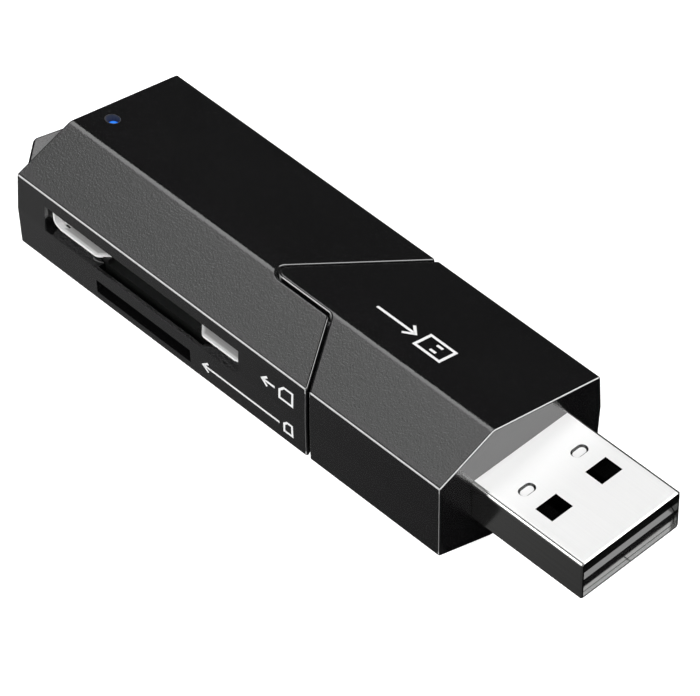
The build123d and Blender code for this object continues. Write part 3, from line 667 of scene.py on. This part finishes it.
plastic(
    "capacitor_body",
    flat=(0.36, 0.26, 0.16), speckled=(0.45, 0.33, 0.21), edge=(0.62, 0.60, 0.56),
    index=1.5, grain_depth=3e-6, Grain_per_m=8000.0, Patch_per_m=1500.0, Dull=0.50, Bright=0.36,
)
plastic(
    "lamp_resin",
    flat=(0.70, 0.75, 0.80), speckled=(0.75, 0.80, 0.85), edge=(0.85, 0.88, 0.90),
    index=resin_index, grain_depth=1e-6, Grain_per_m=5000.0, Patch_per_m=900.0, Dull=0.20, Bright=0.10,
)


def glowing_pipe(name):
    """Deep blue resin with a glow that fades outwards from the pipe's own axis."""
    tree, surface = new_finish(name)
    grain_values = {"Grain_per_m": 4000.0, "Patch_per_m": 900.0, "Dull": 0.22, "Bright": 0.10}
    grained = placed_effect(tree, moulded_grain, **grain_values)
    fading = rising(tree, lamp_reach_mm(tree, object_place(tree)), glow_fade_mm)
    colour = blended(tree, grained["Speckle"], *pipe_tones)
    glow = blended(tree, fading, *glow_tones)
    wire(tree, surface, {"Base Color": colour, "Roughness": grained["Roughness"], "IOR": resin_index})
    wire(tree, surface, {"Emission Color": glow, "Emission Strength": 1.0})


glowing_pipe("pipe_resin")
print("small parts' finishes made: capacitor_body, lamp_resin, pipe_resin")

# %% [markdown]
# ## Giving every solid its finish
# The record says which material slot each solid belongs to, so the finishes above, named like
# the slots, can be dealt out in one go. Only the thin slot's cover has a finish of its own,
# its nearly black painted shade.

# %% Deal out the finishes
for subpart in frame["record"]["subparts"]:
    finish_name = own_finishes.get(subpart["node"], subpart["material_slot"])
    mesh = frame["nodes"][subpart["node"]].data
    mesh.materials.clear()
    mesh.materials.append(finishes[finish_name])

# %% [markdown]
# ## Printed marks
# Small white marks show what goes where: beside each slot an arrow and the outline of its
# card, and on the top an arrow and the outline of the plug. On the real moulding such marks
# are pad printed, a film of ink about a hundredth of a millimetre thick. A picture on the
# surface would blur up close, so each line is a real strip of ink: a low rectangle carried
# along the line's corner points, with its sides mitred where the line turns.

# %% Carry a strip of ink along a line
ink_raised_mm = 0.012
ink_sunk_mm = 0.01


def ink_strip(line, closed, width):
    """Points: the line's corner, plus or minus half the width along the mitre, at two heights.

    The mitre at a corner is the sum of the sideways directions of the two runs that meet
    there, divided by one plus their dot product, so both runs keep the same width.
    """
    line = np.asarray(line, dtype=float)
    after = np.roll(line, -1, axis=0) - line
    before = line - np.roll(line, 1, axis=0)
    if not closed:
        before[0] = after[0]
        after[-1] = before[-1]
    runs = np.stack([before, after])
    runs /= np.linalg.norm(runs, axis=2, keepdims=True)
    sideways = np.stack([-runs[:, :, 1], runs[:, :, 0]], axis=2)
    mitre = sideways.sum(axis=0) / (1 + (sideways[0] * sideways[1]).sum(axis=1))[:, None]
    offset = np.array([-width / 2, width / 2, width / 2, -width / 2])
    rise_mm = np.array([-ink_sunk_mm, -ink_sunk_mm, ink_raised_mm, ink_raised_mm])
    flat = line[:, None, :] + mitre[:, None, :] * offset[None, :, None]
    tall = np.broadcast_to(rise_mm[None, :, None], (len(line), 4, 1))
    points = np.concatenate([flat, tall], axis=2).reshape(-1, 3)
    index = np.arange(len(points)).reshape(-1, 4)
    ahead = np.roll(index, -1, axis=0)
    sides = np.stack([index, np.roll(index, -1, axis=1), np.roll(ahead, -1, axis=1), ahead], axis=2)
    if closed:
        return points, sides.reshape(-1, 4)
    caps = np.stack([index[0, ::-1], index[-1]])
    return points, np.concatenate([sides[:-1].reshape(-1, 4), caps])


print("ink stands", ink_raised_mm, "mm proud")

# %% Put the strips of a mark together
plastic(
    "print_ink",
    flat=gray(0.78), speckled=gray(0.84), edge=gray(0.84),
    index=1.5, grain_depth=1e-6, Grain_per_m=9000.0, Patch_per_m=600.0, Dull=0.60, Bright=0.50,
)


def printed_mark(name, lines, width, origin, right_way, up_way):
    """Each strip's two flat measures go along two directions of the face.

    Its height goes along the cross product of the two.
    """
    axes = np.stack([right_way, up_way, np.cross(right_way, up_way)])
    strips = [ink_strip(line, closed, width) for line, closed in lines]
    starts = np.cumsum([0] + [len(points) for points, _ in strips])
    points = np.concatenate([points for points, _ in strips]) @ axes + origin
    faces = np.concatenate([faces + start for (_, faces), start in zip(strips, starts)])
    mesh = bpy.data.meshes.new(name)
    mesh.from_pydata(placed(points).tolist(), [], faces.tolist())
    mesh.materials.append(finishes["print_ink"])
    piece = bpy.data.objects.new(name, mesh)
    bpy.context.scene.collection.objects.link(piece)
    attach(piece, "root")
    return len(faces)


print("ink made:", finishes["print_ink"].name)

# %% Print the marks beside the slots
wall_line_mm = 0.24
wall_origin = np.array([0.0, -9.875, 0.0])
wall_up = np.array([0.0, np.sin(draft), np.cos(draft)])
wall_down = wall_up * [1, -1, 1]
lengthways = np.array([1.0, 0.0, 0.0])
large_card = [(34.2, 0.95), (35.8, 0.95), (35.8, 2.45), (34.75, 2.45), (34.2, 1.9)]
large_arrow = [(33.6, 1.7), (32.1, 1.7)]
large_head = [(32.65, 2.25), (32.0, 1.7), (32.65, 1.15)]
small_card = [(34.7, -2.95), (35.7, -2.95), (35.7, -1.65), (35.1, -1.65), (34.7, -2.05)]
small_arrow = [(34.1, -2.3), (24.5, -2.3)]
small_head = [(25.05, -1.75), (24.4, -2.3), (25.05, -2.85)]
large_lines = [(large_card, True), (large_arrow, False), (large_head, False)]
small_lines = [(small_card, True), (small_arrow, False), (small_head, False)]
mark_faces = printed_mark("large_card_mark", large_lines, wall_line_mm, wall_origin, lengthways, wall_up)
mark_faces += printed_mark("small_card_mark", small_lines, wall_line_mm, wall_origin, lengthways, wall_down)
print("marks beside the slots:", mark_faces, "faces")

# %% Print the mark on the top
top_line_mm = 0.28
ridge_origin = np.array([0.0, -3.255, half_heights["ridge"]])
facet_down = np.array([0.0, np.cos(far_slope), -np.sin(far_slope)])
plug_body = [(41.2, 2.9), (44.2, 2.9), (44.2, 5.0), (41.2, 5.0)]
plug_windows = [[(42.5, 3.5), (43.2, 3.5)], [(42.5, 4.4), (43.2, 4.4)]]
plug_arrow = [(35.6, 3.95), (40.2, 3.95)]
plug_head = [(39.4, 3.15), (40.3, 3.95), (39.4, 4.75)]
top_lines = [(plug_body, True)] + [(line, False) for line in [plug_arrow, plug_head, *plug_windows]]
mark_faces = printed_mark("plug_mark", top_lines, top_line_mm, ridge_origin, lengthways, facet_down)
print("mark on the top:", mark_faces, "faces")

# %% [markdown]
# ## The floor
# The reader lies on a plain white table. A floor bright enough to photograph white would need
# more light than the reader should get, so the camera sees the lit floor with a little glow
# added, and its shadow stays. In the reader's gloss the same floor shows as white further
# off, and with a painted shade close by, darker towards the plug and right beside the reader,
# as if the reader stood between it and the lamps.

# %% Lay the floor
floor_half_m = 2.0
floor_drop_m = 2e-5
floor_mesh = bpy.data.meshes.new("studio_floor")
floor_corners = np.array([[-1, -1, 0], [1, -1, 0], [1, 1, 0], [-1, 1, 0]]) * floor_half_m
floor_mesh.from_pydata((floor_corners - [0, 0, floor_drop_m]).tolist(), [], [(0, 1, 2, 3)])
floor = bpy.data.objects.new("studio_floor", floor_mesh)
bpy.context.scene.collection.objects.link(floor)
print("floor laid,", 2 * floor_half_m, "m wide")

# %% Finish the floor
floor_tone = gray(0.8)
floor_glow = 0.75
shade_along_m = (-0.060, 0.045)
shade_along = (0.21, 0.04)
shade_under_m = (-0.0095, -0.0078)
shade_under = (1.0, 0.08)
shade_ends_m = (0.09, 0.5)

floor_finish = bpy.data.materials.new("studio_floor")
floor_finish.use_nodes = True
floor_tree = floor_finish.node_tree
floor_tree.nodes.clear()
ray = add(floor_tree, "ShaderNodeLightPath").outputs
floor_place = object_place(floor_tree)
floor_split = add(floor_tree, "ShaderNodeSeparateXYZ", {"Vector": floor_place}).outputs
floor_reach = vector_node(floor_tree, "LENGTH", "Value", floor_place)
# Painted shade for the gloss rays only: darker towards the plug and close beside the reader.
side_shade = remapped(floor_tree, floor_split["X"], shade_along_m, shade_along)
own_shade = remapped(floor_tree, floor_split["Y"], shade_under_m, shade_under)
shade_by = math_node(floor_tree, "MULTIPLY", side_shade, own_shade)
far_by = rising(floor_tree, floor_reach, shade_ends_m)
shade_colour = blended(floor_tree, far_by, shade_by, gray(1.0))
white = add(floor_tree, "ShaderNodeBsdfDiffuse", {"Color": (*floor_tone, 1.0)}).outputs[0]
glow = add(floor_tree, "ShaderNodeEmission", {"Strength": floor_glow}).outputs[0]
seen = add(floor_tree, "ShaderNodeAddShader", {0: white, 1: glow}).outputs[0]
mirrored = add(floor_tree, "ShaderNodeEmission", {"Color": shade_colour}).outputs[0]
gloss_ray = math_node(floor_tree, "MAXIMUM", ray["Is Glossy Ray"], ray["Is Transmission Ray"])
unseen = add(floor_tree, "ShaderNodeMixShader", {0: gloss_ray, 1: white, 2: mirrored}).outputs[0]
looks = add(floor_tree, "ShaderNodeMixShader", {0: ray["Is Camera Ray"], 1: unseen, 2: seen}).outputs[0]
add(floor_tree, "ShaderNodeOutputMaterial", {"Surface": looks})
floor_mesh.materials.append(floor_finish)
print("floor finished, glow", floor_glow)

# %% [markdown]
# ## The studio light
# Black gloss is lit by what it mirrors, and small lamps would show in it as hard points. Each
# flat of the reader mirrors one spot of the room towards the camera, so a soft card of light
# at that spot sets that flat's tone: one behind for the plug's top, one above for the facet
# over the slots, one low at the slot side for the long bright edge. The card above is graded,
# so that each tilt of the grain mirrors another tone. A card at the slot side shines into the
# slots, one in front shines on the plug and the front end, and a large one beside the camera
# gives the plain overall light. A card's brightness is easier to judge than its power, so the
# power is worked out from it.

# %% Recipe for a card of light
card_distance_m = 0.7


def card(name, direction, wide_along, half_sizes, brightness, fade=0.0):
    """Power is pi times the card's area times its brightness; half sizes are seen angles in degrees.

    With a fade, the brightness changes evenly over the card's width by that share each way.
    """
    toward = turned(direction)
    toward /= np.linalg.norm(toward)
    sideways = turned(wide_along)
    sideways -= toward * (sideways @ toward)
    sideways /= np.linalg.norm(sideways)
    lamp = bpy.data.lights.new(name, "AREA")
    lamp.shape = "RECTANGLE"
    lamp.size, lamp.size_y = (2 * card_distance_m * np.tan(np.radians(half_sizes))).tolist()
    lamp.energy = float(np.pi * lamp.size * lamp.size_y * brightness)
    if fade:
        lamp.use_nodes = True
        spread = add(lamp.node_tree, "ShaderNodeNewGeometry").outputs["Parametric"]
        across_card = add(lamp.node_tree, "ShaderNodeSeparateXYZ", {"Vector": spread}).outputs["X"]
        share = {"Value": across_card, "To Min": 1 - fade, "To Max": 1 + fade}
        graded = add(lamp.node_tree, "ShaderNodeMapRange", share).outputs["Result"]
        wire(lamp.node_tree, lamp.node_tree.nodes["Emission"], {"Strength": graded})
    holder = bpy.data.objects.new(name, lamp)
    matrix = np.eye(4)
    matrix[:3, :3] = np.stack([sideways, np.cross(toward, sideways), toward], axis=1)
    matrix[:3, 3] = placed(aim_mm) + toward * card_distance_m
    holder.matrix_world = matrix.T.tolist()
    holder.visible_camera = False
    bpy.context.scene.collection.objects.link(holder)
    return round(lamp.energy, 2)


print("cards hang", card_distance_m, "m from the aim")

# %% Hang the cards of light
card_values = {
    "card_behind": {
        "direction": (-0.50, 0.324, 0.803), "wide_along": (-0.865, -0.278, -0.416),
        "half_sizes": (14, 17), "brightness": 1.75,
    },
    "card_above": {
        "direction": (-0.50, -0.10, 0.86), "wide_along": (0.865, -0.052, 0.498),
        "half_sizes": (16, 9), "brightness": 0.76, "fade": 0.6,
    },
    "card_low": {
        "direction": (-0.50, -0.79, 0.35), "wide_along": (0.85, -0.53, 0.0),
        "half_sizes": (11, 20), "brightness": 3.0,
    },
    "card_side": {
        "direction": (0.12, -0.82, 0.56), "wide_along": (1.0, 0.1, 0.0),
        "half_sizes": (16, 16), "brightness": 5.0,
    },
    "card_camera": {
        "direction": (0.52, -0.45, 0.73), "wide_along": (0.7, 0.7, 0.0),
        "half_sizes": (22, 22), "brightness": 1.6,
    },
    "card_front": {
        "direction": (0.62, 0.44, 0.65), "wide_along": (-0.30, 0.82, -0.23),
        "half_sizes": (30, 16), "brightness": 4.0,
    },
}
card_powers = {name: card(name, **values) for name, values in card_values.items()}
print("cards hung, power in watts:", card_powers)

# %% [markdown]
# ## The room
# Beyond the cards the room is dim behind the reader, so that its broad top stays black, and
# brighter towards the plug. The camera itself sees white wherever the floor ends.

# %% Set the room's own light
room_limits = (0.0, 0.8)
room_levels = (0.03, 0.30)

room = bpy.data.worlds.new("studio_room")
room.use_nodes = True
room_tree = room.node_tree
room_tree.nodes.clear()
room_ray = add(room_tree, "ShaderNodeLightPath").outputs["Is Camera Ray"]
room_place = add(room_tree, "ShaderNodeTexCoord").outputs["Generated"]
room_x = add(room_tree, "ShaderNodeSeparateXYZ", {"Vector": room_place}).outputs["X"]
room_level = remapped(room_tree, room_x, room_limits, room_levels)
dim = add(room_tree, "ShaderNodeBackground", {"Color": room_level}).outputs[0]
bright = add(room_tree, "ShaderNodeBackground", {"Color": (*gray(1.0), 1.0)}).outputs[0]
room_looks = add(room_tree, "ShaderNodeMixShader", {0: room_ray, 1: dim, 2: bright}).outputs[0]
add(room_tree, "ShaderNodeOutputWorld", {"Surface": room_looks})
bpy.context.scene.world = room
print("room level behind and in front:", room_levels)
